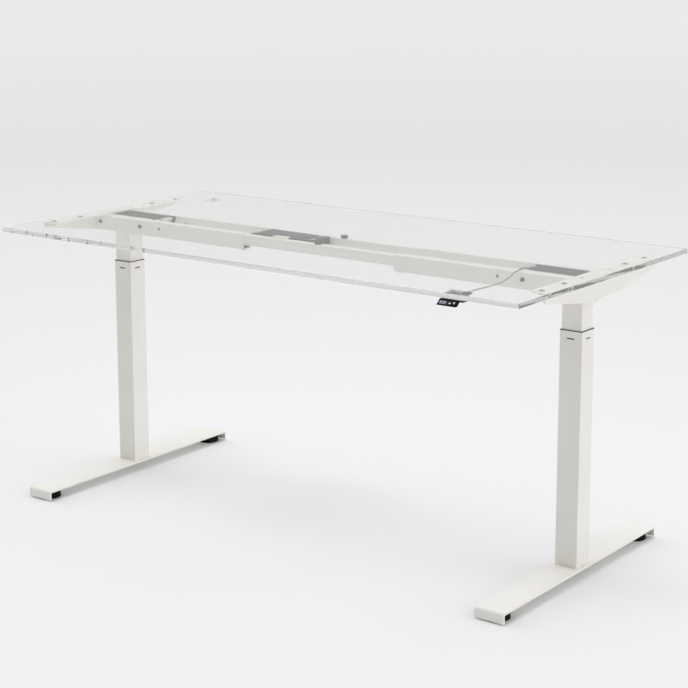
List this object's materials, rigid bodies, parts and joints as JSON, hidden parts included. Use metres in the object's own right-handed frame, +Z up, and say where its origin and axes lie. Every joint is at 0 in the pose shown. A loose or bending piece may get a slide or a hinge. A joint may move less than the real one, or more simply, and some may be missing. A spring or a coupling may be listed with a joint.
{
  "type": "electric height-adjustable desk with two linear-actuator columns",
  "caption": "Sit-stand desk with a clear top on two square telescopic linear-actuator columns, white steel frame, hidden motor drives, control box and push-key handset.",
  "frame": {"origin": "on the floor under the centre of the desktop", "axes": "+X right along the desk's long side, +Y to the back (the handset is at the front, -Y), +Z up"},
  "size_m": [1.6, 0.8, 0.745],
  "materials": {
    "white_powder_coat": "fine powder coat",
    "clear_top": "clear polished",
    "black_plastic": "moulded, fine grain",
    "dark_plastic": "moulded, fine grain",
    "handset_plastic": "satin",
    "window_plastic": "glossy, smoked",
    "pale_plastic": "moulded",
    "grey_lead": "satin jacket",
    "black_rubber": "matt",
    "black_steel": "black oxide",
    "zinc_steel": "zinc plated",
    "white_nylon": "machined nylon",
    "bare_aluminium": "as cast",
    "board_green": "lacquered board"
  },
  "bodies": {
    "base": {"foot_left": "white_powder_coat", "foot_right": "white_powder_coat", "outer_tube_left": "white_powder_coat", "outer_tube_right": "white_powder_coat", "guide_collars": "black_plastic", "spindle_nuts": "white_nylon", "nut_tubes": "zinc_steel", "foot_screws": "zinc_steel"},
    "lift_frame": {"inner_tube_left": "white_powder_coat", "inner_tube_right": "white_powder_coat", "head_tray_left": "white_powder_coat", "head_tray_right": "white_powder_coat", "bracket_left": "white_powder_coat", "bracket_right": "white_powder_coat", "outer_rail_front_left": "white_powder_coat", "outer_rail_front_right": "white_powder_coat", "outer_rail_back_left": "white_powder_coat", "outer_rail_back_right": "white_powder_coat", "mid_rail_front": "white_powder_coat", "mid_rail_back": "white_powder_coat", "box_clips": "white_powder_coat", "tabletop": "clear_top", "slide_shoes": "black_plastic", "rail_guides": "black_plastic", "motor_cover_left": "dark_plastic", "motor_cover_right": "dark_plastic", "motor_sockets": "dark_plastic", "gearbox_left": "dark_plastic", "gearbox_right": "dark_plastic", "control_box_base": "dark_plastic", "control_box_lid": "dark_plastic", "control_sockets": "dark_plastic", "handset_case": "handset_plastic", "handset_window": "window_plastic", "lead_plug": "pale_plastic", "link_plug": "pale_plastic", "handset_pads": "pale_plastic", "handset_lead": "grey_lead", "rail_bumpers": "black_rubber", "frame_screws": "black_steel", "bracket_screws": "black_steel", "control_screws": "zinc_steel", "handset_screws": "zinc_steel", "thrust_bearings": "zinc_steel", "motor_left": "zinc_steel", "motor_right": "zinc_steel", "head_plugs": "bare_aluminium", "control_board": "board_green"},
    "spindle_left": {"spindle_left": "zinc_steel", "worm_wheel_left": "white_nylon"},
    "spindle_right": {"spindle_right": "zinc_steel", "worm_wheel_right": "white_nylon"},
    "worm_left": {"worm_shaft_left": "zinc_steel"},
    "worm_right": {"worm_shaft_right": "zinc_steel"},
    "key_up": {"key_up": "handset_plastic"},
    "key_down": {"key_down": "handset_plastic"},
    "glide_front_left": {"glide_front_left": "black_rubber"},
    "glide_front_right": {"glide_front_right": "black_rubber"},
    "glide_back_left": {"glide_back_left": "black_rubber"},
    "glide_back_right": {"glide_back_right": "black_rubber"}
  },
  "joints": [
    {"name": "lift", "type": "slide", "parent": "base", "child": "lift_frame", "axis": [0, 0, 1], "range_m": [-0.05, 0.41]},
    {"name": "spindle_left_turn", "type": "hinge", "parent": "lift_frame", "child": "spindle_left", "pos_m": [-0.72, -0.005, 0.1], "axis": [0, 0, 1], "continuous": true},
    {"name": "worm_left_turn", "type": "hinge", "parent": "lift_frame", "child": "worm_left", "pos_m": [-0.72, 0.0155, 0.709], "axis": [1, 0, 0], "continuous": true},
    {"name": "spindle_right_turn", "type": "hinge", "parent": "lift_frame", "child": "spindle_right", "pos_m": [0.72, -0.005, 0.1], "axis": [0, 0, 1], "continuous": true},
    {"name": "worm_right_turn", "type": "hinge", "parent": "lift_frame", "child": "worm_right", "pos_m": [0.72, 0.0155, 0.709], "axis": [1, 0, 0], "continuous": true},
    {"name": "key_up_press", "type": "slide", "parent": "lift_frame", "child": "key_up", "axis": [0, 0.6508, -0.7593], "range_m": [0, 0.0007], "stiffness_N_per_m": 2000, "springref_m": -0.0002},
    {"name": "key_down_press", "type": "slide", "parent": "lift_frame", "child": "key_down", "axis": [0, 0.6508, -0.7593], "range_m": [0, 0.0007], "stiffness_N_per_m": 2000, "springref_m": -0.0002},
    {"name": "glide_front_left_level", "type": "slide", "parent": "base", "child": "glide_front_left", "axis": [0, 0, -1], "range_m": [0, 0.008]},
    {"name": "glide_front_right_level", "type": "slide", "parent": "base", "child": "glide_front_right", "axis": [0, 0, -1], "range_m": [0, 0.008]},
    {"name": "glide_back_left_level", "type": "slide", "parent": "base", "child": "glide_back_left", "axis": [0, 0, -1], "range_m": [0, 0.008]},
    {"name": "glide_back_right_level", "type": "slide", "parent": "base", "child": "glide_back_right", "axis": [0, 0, -1], "range_m": [0, 0.008]}
  ],
  "couplings": [
    {"joint": "spindle_left_turn", "follows": "lift", "rad_per_m": 785.4},
    {"joint": "worm_left_turn", "follows": "lift", "rad_per_m": 9424.8},
    {"joint": "spindle_right_turn", "follows": "lift", "rad_per_m": 785.4},
    {"joint": "worm_right_turn", "follows": "lift", "rad_per_m": 9424.8}
  ]
}
